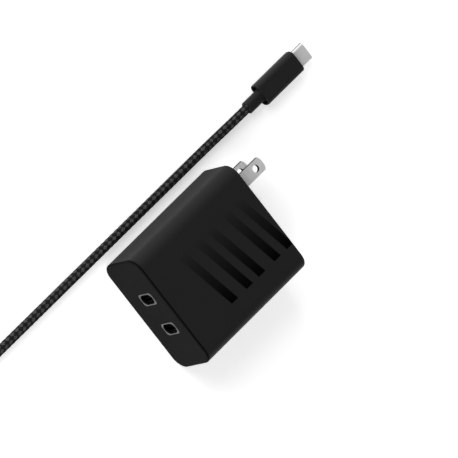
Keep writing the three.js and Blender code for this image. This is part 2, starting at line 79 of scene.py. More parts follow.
# ---------------------------------------------------------------- braided cord of the lead
# A USB-C lead about 1 m long: a round core in a tight polyester braid of six black bundles one way
# and six flecked grey ones the other. It lies straight beside the charger, then in a tied coil.
class Signal:
    """A value that varies over a surface. Arithmetic on it adds the Math nodes."""

    def __init__(self, look, socket):
        self.look = look
        self.socket = socket

    def op(self, operation, *others):
        inputs = dict(enumerate((self, *others)))
        return self.look.node("ShaderNodeMath", {"operation": operation}, inputs)

    def __add__(self, other):
        return self.op("ADD", other)

    def __mul__(self, other):
        return self.op("MULTIPLY", other)

    def __sub__(self, other):
        return self.op("SUBTRACT", other)

    def __rsub__(self, other):
        return self * -1.0 + other

    def __truediv__(self, other):
        return self.op("DIVIDE", other)

    def __pow__(self, other):
        return self.op("POWER", other)

    def __abs__(self):
        return self.op("ABSOLUTE")

    __radd__ = __add__
    __rmul__ = __mul__

    def clamped(self):
        return self.op("MAXIMUM", 0.0).op("MINIMUM", 1.0)

    def odd(self):
        """1 where the nearest whole number is odd, 0 where it is even."""
        return abs(self.op("ROUND").op("MODULO", 2.0))

    def ridges(self, count=1.0):
        """Waves from 0 to 1, with that many crests for each whole step."""
        return (self * (2 * math.pi * count)).op("COSINE") * 0.5 + 0.5


class Look:
    """One finish: a Principled shader and the nodes that feed it."""

    def __init__(self, name, **constants):
        self.material = bpy.data.materials.new(name)
        self.material.use_nodes = True
        self.tree = self.material.node_tree
        self.shader = self.tree.nodes["Principled BSDF"]
        for socket, value in constants.items():
            self.shader.inputs[socket.replace("_", " ")].default_value = value

    def node(self, kind, settings, inputs, output=0):
        made = self.tree.nodes.new(kind)
        for key, value in settings.items():
            setattr(made, key, value)
        for key, value in inputs.items():
            if isinstance(value, Signal):
                self.tree.links.new(value.socket, made.inputs[key])
            else:
                made.inputs[key].default_value = value
        return Signal(self, made.outputs[output])

    def place(self, middle=(0.0, 0.0, 0.0)):
        """Where a point of the piece is, in metres, counted from middle."""
        here = self.node("ShaderNodeTexCoord", {}, {}, "Object")
        back = tuple(-value for value in middle)
        return self.node("ShaderNodeMapping", {}, {"Vector": here, "Location": back})

    def axes(self, vector):
        return [self.node("ShaderNodeSeparateXYZ", {}, {0: vector}, axis) for axis in range(3)]

    def vector(self, *axes):
        return self.node("ShaderNodeCombineXYZ", {}, dict(enumerate(axes)))

    def noise(self, vector, scale, detail=2.0):
        inputs = {"Vector": vector, "Scale": scale, "Detail": detail}
        return self.node("ShaderNodeTexNoise", {}, inputs)

    def mix(self, amount, first, second):
        inputs = {0: amount, 6: first, 7: second}
        return self.node("ShaderNodeMix", {"data_type": "RGBA"}, inputs, 2)

    def feed(self, socket, signal):
        self.tree.links.new(signal.socket, self.shader.inputs[socket])

    def bump(self, height, distance, strength=1.0):
        inputs = {"Height": height, "Distance": distance, "Strength": strength}
        self.feed("Normal", self.node("ShaderNodeBump", {}, inputs))


def grey(value):
    return (value, value, value, 1.0)


def use(look, body, slot, piece, *stands_for):
    """The finish, the body that the piece moves with, and the CAD pieces that it stands for."""
    piece.data.materials.clear()
    piece.data.materials.append(look.material)
    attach(piece, body)
    if stands_for:
        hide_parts(*stands_for)


cord_across = 4.1 * MM
cord_x = -32.8 * MM
turn_pitch = 4.2 * MM
inner_turn = 20.0 * MM
outer_turn = inner_turn + 2 * turn_pitch
coil_middle = Vector((cord_x + outer_turn, -174.0 * MM, 0.0))
lower_layer = 2.7 * MM
upper_layer = lower_layer + cord_across

straight_run = [
    (-32.8, 65.6, 3.05), (-32.8, 60, 3.05), (-32.8, 52, 2.75), (-32.8, 44, 2.3),
    (-32.8, 36, 2.1), (-32.8, 18, 2.1), (-32.8, 0, 2.1), (-32.8, -18, 2.1),
    (-32.8, -36, 2.1), (-32.8, -54, 2.1), (-32.8, -72, 2.1), (-32.8, -90, 2.1),
    (-32.8, -108, 2.1), (-32.8, -126, 2.1), (-32.8, -144, 2.2), (-32.8, -159, 2.7),
]
tail_run = [
    (24.0, -166, 6.8), (24.0, -162, 6.5), (24.0, -158.5, 5.6), (24.0, -154.5, 4.5),
    (24.0, -150, 3.4), (24.0, -146.2, 3.05),
]


def coil_turns(turns=4.5, steps=48):
    """In along the floor from the outside turn to the inside one, then out again on top."""
    points = []
    for step in range(int(turns * steps) + 1):
        turned = step / steps
        inward = min(2.0, turned * 0.8) if turned < 3.0 else 2.0 - min(2.0, (turned - 3.0) * 1.6)
        radius = outer_turn - turn_pitch * inward
        climb = min(1.0, max(0.0, (turned - 2.8) / 0.25))
        height = lower_layer + (upper_layer - lower_layer) * climb
        angle = math.pi + 2 * math.pi * turned
        offset = Vector((math.cos(angle) * radius, math.sin(angle) * radius, height))
        points.append(coil_middle + offset)
    return points


def smooth_route(corners, spacing):
    """Points at an even spacing on a smooth curve through the corners."""
    ends = [corners[0] * 2 - corners[1], *corners, corners[-1] * 2 - corners[-2]]
    fine = []
    for before, here, ahead, after in zip(ends, ends[1:], ends[2:], ends[3:]):
        count = max(2, round((ahead - here).length / spacing))
        for k in range(count):
            t = k / count
            bend = (here * 3 - before - ahead * 3 + after) * t**3
            sweep = (before * 2 - here * 5 + ahead * 4 - after) * t**2
            fine.append((here * 2 + (ahead - before) * t + sweep + bend) / 2)
    fine.append(corners[-1])
    return fine


run_points = [Vector(point) * MM for point in straight_run]
tail_points = [Vector(point) * MM for point in tail_run]
cord_line = smooth_route(run_points + coil_turns() + tail_points, 0.5 * MM)
so_far = [0.0]
for here, ahead in zip(cord_line, cord_line[1:]):
    so_far.append(so_far[-1] + (ahead - here).length)
cord_length = so_far[-1]

cord_curve = bpy.data.curves.new("lead_cord_line", "CURVE")
cord_curve.dimensions = "3D"
cord_curve.bevel_depth = cord_across / 2
cord_curve.bevel_resolution = 14
cord_curve.use_fill_caps = True
spline = cord_curve.splines.new("POLY")
spline.points.add(len(cord_line) - 1)
for handle, point in zip(spline.points, cord_line):
    handle.co = (*point, 1.0)
line_piece = bpy.data.objects.new("lead_cord_line", cord_curve)
cord_mesh = bpy.data.meshes.new_from_object(line_piece)
bpy.data.objects.remove(line_piece)

# Plain braid: the bundles cross 6 times round the cord, and each passes over, then under. The
# whole braid is also laid with a slow twist.
bundles = 6
twist_length = 1.05
crossing_step = 2.9 * MM
braid_depth = 0.17 * MM
sides = 32
ring_start = len(cord_mesh.vertices) - sides * len(cord_line)
for ring, middle in enumerate(cord_line):
    for side in range(sides):
        vertex = cord_mesh.vertices[ring_start + ring * sides + side]
        turned = bundles * (side / sides + so_far[ring] / twist_length)
        one_way = turned + so_far[ring] / crossing_step
        other_way = turned - so_far[ring] / crossing_step
        crown = math.cos(math.pi * (one_way - round(one_way)))
        crown += math.cos(math.pi * (other_way - round(other_way)))
        sunk = braid_depth * (1.0 - crown / 2)
        vertex.co += (middle - vertex.co).normalized() * sunk
cord_mesh.shade_smooth()
cord = bpy.data.objects.new("lead_braided_cord", cord_mesh)
scene.collection.objects.link(cord)

braid = Look("braid", Specular_IOR_Level=0.02)
along, around, _ = braid.axes(braid.node("ShaderNodeUVMap", {"uv_map": "UVMap"}, {}))
turned = (around + along * (cord_length / twist_length)) * bundles
one_way = turned + along * (cord_length / crossing_step)
other_way = turned - along * (cord_length / crossing_step)
black_on_top = (one_way.op("ROUND") + other_way.op("ROUND")).odd()
yarns_a_bundle = 5.0
yarn = braid.mix(
    black_on_top, one_way.ridges(yarns_a_bundle), other_way.ridges(yarns_a_bundle))
off_middle = abs(one_way - one_way.op("ROUND"))
off_crossing = abs(other_way - other_way.op("ROUND"))
soft_edge = 9.0
in_bundle = ((0.47 - off_middle) * soft_edge).clamped()
in_crossing = ((0.52 - off_crossing) * soft_edge).clamped()
grey_yarns = in_bundle * in_crossing * (1.0 - black_on_top)
across_yarns = braid.vector(one_way * yarns_a_bundle, other_way * yarns_a_bundle, 0.0)
fleck = ((braid.noise(across_yarns, 0.9, 1.0) - 0.42) * 7.0).clamped()
fibre = braid.noise(across_yarns, 8.0, 3.0)
flecked = braid.mix(fleck, grey(0.034), grey(0.120))
black_yarns = braid.mix(fleck, grey(0.0035), grey(0.024))
coloured = braid.mix(grey_yarns, black_yarns, flecked)
shaded = braid.mix(fibre * 0.4, coloured, grey(0.006))
braid.feed("Base Color", shaded)
braid.feed("Roughness", fibre * 0.2 + 0.65)
braid.bump(yarn * 0.7 + fibre * 0.5, 0.05 * MM, 0.8)
use(braid, "lead", "cord_braid", cord, "lead_cord", "lead_cord_tail", "lead_coil")


# ---------------------------------------------------------------- plugs at both ends of the lead
# Each end is one overmoulding of black TPE: a short collar round the braid and a flat grip with
# rounded corners. The USB-C tip is a seamless drawn shell of nickel-plated stainless steel.
def arc(middle_radius, middle_y, size, start, stop, steps=6):
    """Points on a round stretch of an outline, between two angles in degrees."""
    angles = [math.radians(start + (stop - start) * k / steps) for k in range(steps + 1)]
    return [(middle_radius + size * math.cos(a), middle_y + size * math.sin(a)) for a in angles]


def pulled_bar(outline, reach, middle, steps=56, closed=False):
    """A bar along Y with a rounded-rectangle section. An outline of (radius, y) is spun once round
    Y, its four quarters are pulled apart by reach in X and Z, and open ends get a flat face."""
    bm = bmesh.new()
    half_step = math.pi / steps
    turned = [
        bm.verts.new((radius, y, radius * math.tan(half_step))) for radius, y in outline
    ]
    pairs = list(zip(turned, turned[1:]))
    if closed:
        pairs.append((turned[-1], turned[0]))
    edges = [bm.edges.new(pair) for pair in pairs]
    bmesh.ops.spin(
        bm, geom=turned + edges, cent=(0, 0, 0), axis=(0, 1, 0), angle=2 * math.pi,
        steps=steps, use_merge=True,
    )
    bmesh.ops.remove_doubles(bm, verts=bm.verts, dist=0.001 * MM)
    for vertex in bm.verts:
        vertex.co.x += math.copysign(reach[0], vertex.co.x) + middle[0]
        vertex.co.z += math.copysign(reach[1], vertex.co.z) + middle[1]
    rims = [edge for edge in bm.edges if edge.is_boundary]
    if rims:
        bmesh.ops.holes_fill(bm, edges=rims, sides=0)
    bmesh.ops.recalc_face_normals(bm, faces=bm.faces)
    return bm


def piece_from(bm, name):
    mesh = bpy.data.meshes.new(name)
    bm.to_mesh(mesh)
    bm.free()
    piece = bpy.data.objects.new(name, mesh)
    scene.collection.objects.link(piece)
    return piece


def smoothed(piece, hard_angle=38.0, edge=0.0):
    """Smooth shading that keeps flat faces flat, with an optional small round on hard edges."""
    piece.data.shade_smooth()
    if edge:
        rounding = piece.modifiers.new("edges", "BEVEL")
        rounding.width = edge
        rounding.segments = 2
        rounding.angle_limit = math.radians(hard_angle)
        rounding.harden_normals = True
    piece.data.set_sharp_from_angle(angle=math.radians(hard_angle))
    even = piece.modifiers.new("even_shading", "WEIGHTED_NORMAL")
    even.keep_sharp = True
    return piece


def box_reach(node, corner):
    """How far to pull a bar's quarters so that it fills a CAD piece's box, and its middle."""
    low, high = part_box(node)
    half, middle = (high - low) / 2, (high + low) / 2
    return low.y, high.y, (half.x - corner, half.z - corner), (middle.x, middle.z)


overmould = Look("soft_overmould", Specular_IOR_Level=0.2)
grain = overmould.noise(overmould.place(), 5200.0, 3.0)
patch = overmould.noise(overmould.place(), 260.0, 2.0)
overmould.feed("Base Color", overmould.mix(patch, grey(0.0115), grey(0.0135)))
overmould.feed("Roughness", grain * 0.16 + patch * 0.1 + 0.46)
overmould.bump(grain, 0.02 * MM, 0.7)

collar = Look("ribbed_collar", Specular_IOR_Level=0.2)
grain = collar.noise(collar.place(), 5200.0, 3.0)
_, height_along, _ = collar.axes(collar.place())
collar.feed("Base Color", collar.mix(grain, grey(0.0090), grey(0.0112)))
collar.feed("Roughness", grain * 0.2 + 0.5)
collar.bump(grain * 0.5 + (height_along / MM).ridges(1.0) * 0.5, 0.03 * MM, 0.7)

plated_tip = Look("plated_tip", Metallic=0.76)
x, y, z = plated_tip.axes(plated_tip.place())
drawn = plated_tip.noise(plated_tip.vector(x * 9000.0, y * 500.0, z * 9000.0), 1.0, 3.0)
handled = plated_tip.noise(plated_tip.place(), 700.0, 3.0)
_, _, facing_up = plated_tip.axes(plated_tip.node("ShaderNodeNewGeometry", {}, {}, "Normal"))
# Painted shade: the tip's steep sides are coloured a darker grey than its flat faces.
painted_shade_sides = ((0.8 - abs(facing_up)) * 2.0).clamped()
silver = plated_tip.mix(handled, grey(0.90), grey(0.98))
plated_tip.feed("Base Color", plated_tip.mix(painted_shade_sides, silver, grey(0.2)))
plated_tip.feed("Roughness", drawn * 0.14 + handled * 0.1 + 0.5)
plated_tip.bump(drawn, 0.004 * MM, 0.5)

contact_holder = Look("contact_holder", Specular_IOR_Level=0.4)
x, _, _ = contact_holder.axes(contact_holder.place())
contact_pitch = 0.5 * MM
spring_rows = (((x / contact_pitch).ridges() - 0.55) * 8.0).clamped()
contact_holder.feed("Base Color", contact_holder.mix(spring_rows, grey(0.012), (0.75, 0.52, 0.2, 1)))
contact_holder.feed("Metallic", spring_rows)
contact_holder.feed("Roughness", 0.5 - spring_rows * 0.2)

for end in ("a", "b"):
    hollow = 1.3 * MM
    corner = 2.35 * MM
    nose = 0.2 * MM
    start, stop, reach, middle = box_reach(f"lead_strain_relief_{end}", corner)
    outline = arc(corner - nose, start + nose, nose, -90, 0) + [(corner, stop + hollow)]
    bm = pulled_bar(outline, reach, middle)
    relief = smoothed(piece_from(bm, f"plug_collar_{end}"))
    use(collar, "lead", "inner_plastic", relief, f"lead_strain_relief_{end}")

    corner = 2.3 * MM
    rim = 0.55 * MM
    edge, shoulder = 0.12 * MM, 0.35 * MM
    start, stop, reach, middle = box_reach(f"lead_grip_{end}", corner)
    outline = [(corner - rim, start + hollow), (corner - rim, start)]
    outline += arc(corner - edge, start + edge, edge, -90, 0, 3)
    outline += arc(corner - shoulder, stop - shoulder, shoulder, 0, 90)
    bm = pulled_bar(outline, reach, middle)
    grip = smoothed(piece_from(bm, f"plug_grip_{end}"))
    use(overmould, "lead", "body_plastic", grip, f"lead_grip_{end}")

    low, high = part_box(f"lead_tip_{end}")
    radius = (high.z - low.z) / 2
    wall = 0.3 * MM
    lip = wall / 2
    root = low.y - 0.3 * MM
    inner_floor = low.y + 0.4 * MM
    outline = [(radius, root)]
    outline += arc(radius - lip, high.y - lip, lip, 0, 180)
    outline += [(radius - wall, inner_floor)]
    middle = ((low.x + high.x) / 2, (low.z + high.z) / 2)
    bm = pulled_bar(outline, ((high.x - low.x) / 2 - radius, 0.0), middle)
    tip = smoothed(piece_from(bm, f"plug_tip_{end}"))
    use(plated_tip, "lead", "steel", tip, f"lead_tip_{end}")
    holder = frame["nodes"][f"lead_contacts_{end}"]
    holder.data.materials.clear()
    holder.data.materials.append(contact_holder.material)

# ---------------------------------------------------------------- strap round the coil
# A hook-and-loop tie, 8 mm wide: one layer of woven black tape wrapped round the bundle of turns.
low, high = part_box("lead_tie")
middle = (low + high) / 2
strap_corner = 2.6 * MM
strap = 0.45 * MM
hem = 0.1 * MM
half_wide = (high.x - low.x) / 2
outline = arc(strap_corner - hem, half_wide - hem, hem, 0, 90, 2)
outline += [(strap_corner - strap, half_wide), (strap_corner - strap, -half_wide)]
outline += arc(strap_corner - hem, hem - half_wide, hem, -90, 0, 2)
reach = ((high.y - low.y) / 2 - strap_corner, (high.z - low.z) / 2 - strap_corner)
bm = pulled_bar(outline, reach, (0.0, 0.0), 56, closed=True)
quarter_turn = Matrix.Rotation(math.pi / 2, 4, "Z")
bmesh.ops.transform(bm, matrix=Matrix.Translation(middle) @ quarter_turn, verts=bm.verts)
tie = smoothed(piece_from(bm, "coil_strap"))
tape = Look("woven_tape", Sheen_Weight=0.4, Sheen_Roughness=0.4)
x, y, z = tape.axes(tape.place())
loop_pitch = 0.45 * MM
loops_and_highlight = (x / loop_pitch).ridges() * ((y + z) / loop_pitch).ridges()
fuzz = tape.noise(tape.place(), 4200.0, 4.0)
# Partly painted highlight on the loop crests, partly fibre tone from the noise.
tape.feed("Base Color", tape.mix(loops_and_highlight * fuzz, grey(0.007), grey(0.022)))
tape.feed("Roughness", fuzz * 0.2 + 0.75)
tape.bump(loops_and_highlight * 0.6 + fuzz * 0.6, 0.12 * MM, 0.8)
use(tape, "lead", "tie_strap", tie, "lead_tie")

# ---------------------------------------------------------------- housing
# A deep box moulded in one piece from black flame-retardant polycarbonate with a fine matt
# texture. Its closed end is slotted for the blades, and five gloss bars are printed on top.
cad_middle = (body_middle.x, body_middle.z)
half_wide = (body_high.x - body_low.x) / 2
half_thick = (body_high.z - body_low.z) / 2
body_corner = 5.9 * MM
body_wall = 2.0 * MM
end_wall = 2.2 * MM
end_round = 1.0 * MM
body_reach = (half_wide - body_corner, half_thick - body_corner)
seam_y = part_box("port_end_cap")[0].y + 0.8 * MM
sleeve_y = seam_y + 0.16 * MM
lip = 0.05 * MM
inside_corner = body_corner - body_wall

outline = arc(body_corner - end_round, blade_end - end_round, end_round, 90, 0, 8)
outline += arc(body_corner - lip, sleeve_y + lip, lip, 0, -90, 3)
outline += [(inside_corner, sleeve_y), (inside_corner, blade_end - end_wall)]
housing = piece_from(pulled_bar(outline, body_reach, cad_middle, 72), "charger_housing")


def block(low, high):
    bm = bmesh.new()
    size = Matrix.Diagonal((*(high - low), 1.0))
    bmesh.ops.create_cube(bm, size=1.0, matrix=Matrix.Translation((low + high) / 2) @ size)
    return bm


def cut(piece, *shapes):
    """Takes each shape out of the piece."""
    tools = [piece_from(bm, "tool") for bm in shapes]
    for tool in tools:
        step = piece.modifiers.new("cut", "BOOLEAN")
        step.object = tool
        step.solver = "EXACT"
    graph = bpy.context.evaluated_depsgraph_get()
    piece.data = bpy.data.meshes.new_from_object(piece.evaluated_get(graph))
    piece.modifiers.clear()
    for tool in tools:
        bpy.data.objects.remove(tool)
    return piece


blade_boxes = [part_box(f"blade_{pole}") for pole in ("line", "neutral")]
blade_x = (blade_boxes[0][0].x + blade_boxes[0][1].x) / 2
hinge_y = frame["joints"][0]["pos_m"][1]
slot_low_x = blade_boxes[0][0].x - 0.4 * MM
slot_high_x = blade_x + blade_boxes[0][1].y - hinge_y + 0.5 * MM
slot_gap = 0.3 * MM
slots = []
for low, high in blade_boxes:
    slot_low = Vector((slot_low_x, blade_end - 2 * end_wall, low.z - slot_gap))
    slots.append(block(slot_low, Vector((slot_high_x, blade_end + end_wall, high.z + slot_gap))))

# A shallow thumb scoop between the slots, where a nail gets under the folded blades.
scoop_radius = 6.5 * MM
scoop_out = 5.2 * MM
scoop_from_slot_end = 5 * MM
scoop_long = blade_boxes[1][0].z - blade_boxes[0][1].z - 2 * slot_gap
scoop = bmesh.new()
scoop_x = slot_high_x - scoop_from_slot_end
scoop_place = Matrix.Translation((scoop_x, blade_end + scoop_out, body_middle.z))
bmesh.ops.create_cone(
    scoop, cap_ends=True, segments=72, radius1=scoop_radius, radius2=scoop_radius,
    depth=scoop_long, matrix=scoop_place,
)
smoothed(cut(housing, *slots, scoop), edge=0.15 * MM)


def moulded_plastic(name, dark, light, sheen):
    """Black housing plastic: fine matt spark-erosion texture with a faint cloudiness."""
    look = Look(name, Specular_IOR_Level=sheen)
    texture = look.noise(look.place(), 6500.0, 3.0)
    cloud = look.noise(look.place(), 90.0, 3.0)
    look.bump(texture, 0.016 * MM, 0.6)
    return look, look.mix(cloud, grey(dark), grey(light)), texture * 0.14 + cloud * 0.06 + 0.42


shell_plastic, plain_colour, plain_roughness = moulded_plastic("housing_plastic", 0.0150, 0.0166, 0.08)
x, y, z = shell_plastic.axes(shell_plastic.place())
bar_half = 2.1 * MM
bar_slant = 0.22
bar_ends = (-14.0 * MM, 15.5 * MM)
sharp = 1 / (0.12 * MM)
lean = y - x * bar_slant
printed = None
for bar_y in (-9.5, 0.0, 8.0, 18.0, 26.0):
    one_bar = ((bar_half - abs(lean - bar_y * MM)) * sharp).clamped()
    printed = one_bar if printed is None else printed + one_bar
fade = ((x - bar_ends[0]) / (bar_ends[1] - bar_ends[0])).clamped() ** 0.7
stop = ((bar_ends[1] - x) * sharp).clamped()
on_top = ((z - (body_high.z - 0.3 * MM)) * sharp).clamped()
printed = (printed * fade * stop * on_top).clamped()
shell_plastic.feed("Base Color", shell_plastic.mix(printed, plain_colour, grey(0.0008)))
shell_plastic.feed("Roughness", plain_roughness - printed * 0.30)
use(shell_plastic, "charger", "body_plastic", housing, "housing")

# ---------------------------------------------------------------- port end cap
# The second moulding, welded to the housing: a face plate with two port openings and a thin skirt
# that slides inside the housing's mouth. The joint shows as one fine line round the body, widened
# by painted shade on the cap's rounded edge just in front of it.
front = 0.74 * MM
skirt_gap = 0.3 * MM
skirt_wall = 1.0 * MM
skirt_radius = body_corner - body_wall - skirt_gap
skirt_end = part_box("port_end_cap")[1].y
plate_end = port_end + 2.3 * MM
seam_in, seam_long = 0.06 * MM, 0.02 * MM
outline = arc(body_corner - front, port_end + front, front, -90, 0, 8)
outline += [(body_corner, seam_y - seam_long), (body_corner - seam_in, seam_y)]
outline += [(skirt_radius, seam_y), (skirt_radius, skirt_end)]
outline += [(skirt_radius - skirt_wall, skirt_end), (skirt_radius - skirt_wall, plate_end)]
cap = piece_from(pulled_bar(outline, body_reach, cad_middle, 72), "charger_port_cap")


def slot_shape(long, short, start, stop, middle, steps=48):
    """A slot with round ends, long along Z, as a solid or a cutter."""
    outline = [(short / 2, start), (short / 2, stop)]
    return pulled_bar(outline, (0.0, (long - short) / 2), middle, steps)


rim_corner = 1.5 * MM
port_boxes = {side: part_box(f"port_rim_{side}") for side in ("left", "right")}
shell_low, shell_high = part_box("receptacle_shell_left")
shell_fit = 0.5 * MM
fit = 0.04 * MM
openings = []
for low, high in port_boxes.values():
    middle = ((low.x + high.x) / 2, (low.z + high.z) / 2)
    long, short = high.z - low.z, high.x - low.x
    recess = [(rim_corner + fit, port_end - MM), (rim_corner + fit, high.y)]
    openings.append(pulled_bar(recess, (short / 2 - rim_corner, long / 2 - rim_corner), middle))
    shell_long, shell_short = shell_high.z - shell_low.z, shell_high.x - shell_low.x
    openings.append(slot_shape(
        shell_long + shell_fit, shell_short + shell_fit, high.y - 0.2 * MM, high.y + 5 * MM, middle))
smoothed(cut(cap, *openings), edge=0.05 * MM)
# Painted shade: the cap is coloured several times darker than the housing's black plastic, which
# darkens the port face.
shaded_cap_plastic, colour, roughness = moulded_plastic("shaded_cap_plastic", 0.0042, 0.0050, 0.03)
_, depth, _ = shaded_cap_plastic.axes(shaded_cap_plastic.place())
# Painted shade: every part of the cap more than 0.4 mm behind its front face, in the port openings and
# on its rounded edge by the joint, is coloured near black.
painted_shade_start = port_end + 0.4 * MM
sharp_step = 1e4
painted_shade_behind_face = ((depth - painted_shade_start) * sharp_step).clamped()
shaded_cap_plastic.feed("Base Color", shaded_cap_plastic.mix(painted_shade_behind_face, colour, grey(0.001)))
shaded_cap_plastic.feed("Roughness", roughness + 0.06)
use(shaded_cap_plastic, "charger", "body_plastic", cap, "port_end_cap")

# ---------------------------------------------------------------- port rims and receptacles
# Each port has a grey anodised trim ring pressed into the cap. The USB-C receptacle behind it is
# a deep-drawn black-plated steel shell round a glass-filled tongue with twelve gold pads a side.
# Shell, tongue and pads are coloured darker than these finishes, as painted shade inside the port.
rim_metal = Look("anodised_rim", Metallic=1.0)
turned_grain = rim_metal.noise(rim_metal.place(), 3000.0, 3.0)
rim_metal.feed("Base Color", rim_metal.mix(turned_grain, grey(0.10), grey(0.145)))
rim_metal.feed("Roughness", turned_grain * 0.12 + 0.26)
rim_metal.bump(turned_grain, 0.004 * MM, 0.4)

# Partly painted shade: black plating, coloured darker still for the shade inside the port.
black_nickel_and_shade = Look("black_nickel_and_shade", Metallic=1.0)
brushed = black_nickel_and_shade.noise(black_nickel_and_shade.place(), 2500.0, 3.0)
black_nickel_and_shade.feed("Base Color", black_nickel_and_shade.mix(brushed, grey(0.003), grey(0.006)))
black_nickel_and_shade.feed("Roughness", brushed * 0.2 + 0.35)

# Painted shade: the tongue's black resin is coloured near black, for the shade inside the port.
tongue_resin = Look("tongue_resin", Specular_IOR_Level=0.01)
speckle = tongue_resin.noise(tongue_resin.place(), 4000.0, 3.0)
tongue_resin.feed("Base Color", tongue_resin.mix(speckle, grey(0.002), grey(0.004)))
tongue_resin.feed("Roughness", speckle * 0.2 + 0.5)

# Painted shade: the gold is coloured far darker than gold plating, for the shade inside the port.
gold = Look("gold_pads", Metallic=1.0)
plating = gold.noise(gold.place(), 2600.0, 3.0)
gold.feed("Base Color", gold.mix(plating, (0.09, 0.06, 0.022, 1), (0.13, 0.09, 0.035, 1)))
gold.feed("Roughness", plating * 0.15 + 0.25)

for side, (low, high) in port_boxes.items():
    middle = ((low.x + high.x) / 2, (low.z + high.z) / 2)
    rim_wall = 0.5 * MM
    proud = 0.05 * MM
    crest = 0.15 * MM
    outline = arc(rim_corner - crest, low.y - proud + crest, crest, -90, 0, 3)
    outline += [(rim_corner, high.y)]
    reach = ((high.x - low.x) / 2 - rim_corner, (high.z - low.z) / 2 - rim_corner)
    ring = piece_from(pulled_bar(outline, reach, middle), f"port_trim_{side}")
    long, short = high.z - low.z - 2 * rim_wall, high.x - low.x - 2 * rim_wall
    cut(ring, slot_shape(long, short, low.y - MM, high.y + MM, middle, 64))
    smoothed(ring, edge=0.1 * MM)
    use(rim_metal, "charger", "port_rim", ring, f"port_rim_{side}")

    low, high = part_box(f"receptacle_shell_{side}")
    radius = (high.x - low.x) / 2
    shell_wall = 0.3 * MM
    lip = shell_wall / 2
    outline = [(radius, high.y)]
    outline += arc(radius - lip, low.y + lip, lip, 0, -180, 6)
    outline += [(radius - shell_wall, high.y - 0.4 * MM)]
    bm = pulled_bar(outline, (0.0, (high.z - low.z) / 2 - radius), middle, 48)
    shell = smoothed(piece_from(bm, f"receptacle_can_{side}"))
    use(black_nickel_and_shade, "charger", "steel", shell, f"receptacle_shell_{side}")

    low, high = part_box(f"receptacle_tongue_{side}")
    tongue = frame["nodes"][f"receptacle_tongue_{side}"]
    tongue.data.materials.clear()
    tongue.data.materials.append(tongue_resin.material)
    pads = bmesh.new()
    pad_pitch, pad_wide, pad_thick = 0.5 * MM, 0.28 * MM, 0.06 * MM
    pads_start = low.y + 1.5 * MM
    tongue_half = 0.35 * MM
    power_pads = (0, 3, 8, 11)
    for face in (-1, 1):
        for count in range(12):
            pad_z = middle[1] + (count - 5.5) * pad_pitch
            pad_x = middle[0] + face * tongue_half
            pad_long = 3.2 * MM if count in power_pads else 2.7 * MM
            place = Matrix.Translation((pad_x, pads_start + pad_long / 2, pad_z))
            size = Matrix.Diagonal((pad_thick, pad_long, pad_wide, 1.0))
            bmesh.ops.create_cube(pads, size=1.0, matrix=place @ size)
    pads = piece_from(pads, f"receptacle_pads_{side}")
    use(gold, "charger", "copper", pads)

# ---------------------------------------------------------------- folding blades
# Two stamped brass blades, nickel plated, with painted shade on their side walls, a bowed end and the
# round socket hole. They turn together on one pin, carried by a moulded barrel with two flats.
plated_blade = Look("nickel_plated_brass", Specular_IOR_Level=0.0)
x, y, z = plated_blade.axes(plated_blade.place())
rolled = plated_blade.noise(plated_blade.vector(x * 7000.0, y * 260.0, z * 7000.0), 1.0, 3.0)
rubbed = plated_blade.noise(plated_blade.place(), 420.0, 3.0)
tint = plated_blade.mix(rubbed, (0.84, 0.835, 0.83, 1), (0.96, 0.96, 0.96, 1))
_, _, facing_up = plated_blade.axes(plated_blade.node("ShaderNodeNewGeometry", {}, {}, "Normal"))
# Painted shade: the blades' side walls are coloured near black and made non-metallic.
painted_shade_walls = ((0.9 - abs(facing_up)) * 5.0).clamped()
plated_blade.feed("Base Color", plated_blade.mix(painted_shade_walls, tint, grey(0.008)))
plated_blade.feed("Metallic", 0.58 - painted_shade_walls * 0.58)
plated_blade.feed("Roughness", rolled * 0.14 + rubbed * 0.12 + 0.46)
plated_blade.bump(rolled * 0.5 + rubbed * 0.2, 0.006 * MM, 0.6)

tip_drop, tip_bend, tip_flat = 0.8 * MM, 2.0 * MM, 0.7 * MM
hole_radius = 1.6 * MM
pivot_radius = 1.9 * MM
hole_from_face = 10.6 * MM


def drill(x, y, z, radius, depth):
    bm = bmesh.new()
    bmesh.ops.create_cone(
        bm, cap_ends=True, segments=48, radius1=radius, radius2=radius, depth=depth,
        matrix=Matrix.Translation((x, y, z)),
    )
    return bm


# The blade's end bows out from its corners to a short flat: distances in from the edge and tip.
half_blade = (blade_boxes[0][1].x - blade_boxes[0][0].x) / 2
bow = []
for step in range(9):
    t = step / 8
    across = half_blade * (1 - t)**2 + tip_bend * 2 * t * (1 - t) + tip_flat * t**2
    bow.append((half_blade - across, tip_drop * (1 - t)**2))

for pole, (low, high) in zip(("line", "neutral"), blade_boxes):
    outline = [(high.x, low.y)]
    outline += [(high.x - sink_in, high.y - drop) for sink_in, drop in bow]
    outline += [(low.x + sink_in, high.y - drop) for sink_in, drop in reversed(bow)]
    outline += [(low.x, low.y)]
    bm = bmesh.new()
    plate = bm.faces.new([bm.verts.new((*corner, low.z)) for corner in outline])
    lifted = bmesh.ops.extrude_face_region(bm, geom=[plate])["geom"]
    raised = [part for part in lifted if isinstance(part, bmesh.types.BMVert)]
    bmesh.ops.translate(bm, verts=raised, vec=(0, 0, high.z - low.z))
    bmesh.ops.recalc_face_normals(bm, faces=bm.faces)
    middle_z = (low.z + high.z) / 2
    blade = piece_from(bm, f"plug_blade_{pole}")
    cut(
        blade,
        drill(blade_x, blade_end + hole_from_face, middle_z, hole_radius, 5 * MM),
        drill(blade_x, hinge_y, middle_z, pivot_radius, 5 * MM),
    )
    smoothed(blade, edge=0.06 * MM)
    use(plated_blade, "blades", "blade_nickel", blade, f"blade_{pole}")


def repaint(look, *nodes):
    """A new finish on CAD pieces whose shape stays as it is."""
    for node in nodes:
        piece = frame["nodes"][node]
        piece.data.materials.clear()
        piece.data.materials.append(look.material)


